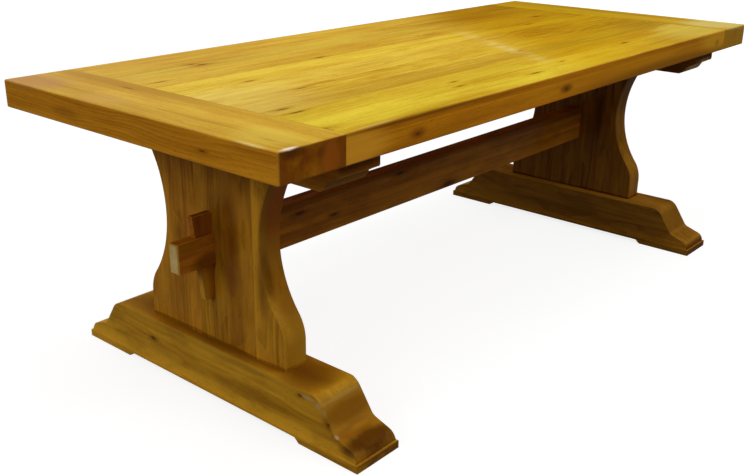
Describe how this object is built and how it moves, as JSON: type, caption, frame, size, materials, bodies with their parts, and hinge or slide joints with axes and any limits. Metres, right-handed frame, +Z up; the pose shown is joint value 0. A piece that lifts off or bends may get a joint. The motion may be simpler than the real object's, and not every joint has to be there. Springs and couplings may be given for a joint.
{
  "type": "refectory table",
  "caption": "Long trestle dining table: thick planked top with end boards, waisted posts on shaped feet, and a stretcher whose through tenons are held by loose wedges.",
  "frame": {"origin": "on the floor, in the middle of the table", "axes": "+X along the length of the top, +Y across it, +Z up"},
  "size_m": [2.25, 1.014, 0.765],
  "materials": {
    "top_wood": "gloss varnish",
    "trestle_wood": "gloss varnish over a dark stain",
    "bare_wood": "unfinished, hidden inside",
    "screw_steel": "plain steel"
  },
  "bodies": {
    "table": {"top_board_1": "top_wood", "top_board_2": "top_wood", "top_board_3": "top_wood", "top_board_4": "top_wood", "top_board_5": "top_wood", "top_board_6": "top_wood", "top_board_7": "top_wood", "top_board_8": "top_wood", "top_board_9": "top_wood", "end_board_left": "top_wood", "end_board_right": "top_wood", "foot_left": "trestle_wood", "foot_right": "trestle_wood", "bearer_left": "trestle_wood", "bearer_right": "trestle_wood", "post_stave_left_1": "trestle_wood", "post_stave_left_2": "trestle_wood", "post_stave_left_3": "trestle_wood", "post_stave_left_4": "trestle_wood", "post_stave_left_5": "trestle_wood", "post_stave_right_1": "trestle_wood", "post_stave_right_2": "trestle_wood", "post_stave_right_3": "trestle_wood", "post_stave_right_4": "trestle_wood", "post_stave_right_5": "trestle_wood", "stretcher": "trestle_wood", "board_splines": "bare_wood", "end_board_pegs_left": "bare_wood", "end_board_pegs_right": "bare_wood", "top_screws_left": "screw_steel", "top_screws_right": "screw_steel", "foot_screws_left": "screw_steel", "foot_screws_right": "screw_steel"},
    "wedge_left": {"wedge_left": "trestle_wood"},
    "wedge_right": {"wedge_right": "trestle_wood"}
  },
  "joints": [
    {"name": "wedge_left_lift", "type": "slide", "parent": "table", "child": "wedge_left", "axis": [0, 0, 1], "range_m": [0, 0.135]},
    {"name": "wedge_right_lift", "type": "slide", "parent": "table", "child": "wedge_right", "axis": [0, 0, 1], "range_m": [0, 0.135]}
  ]
}
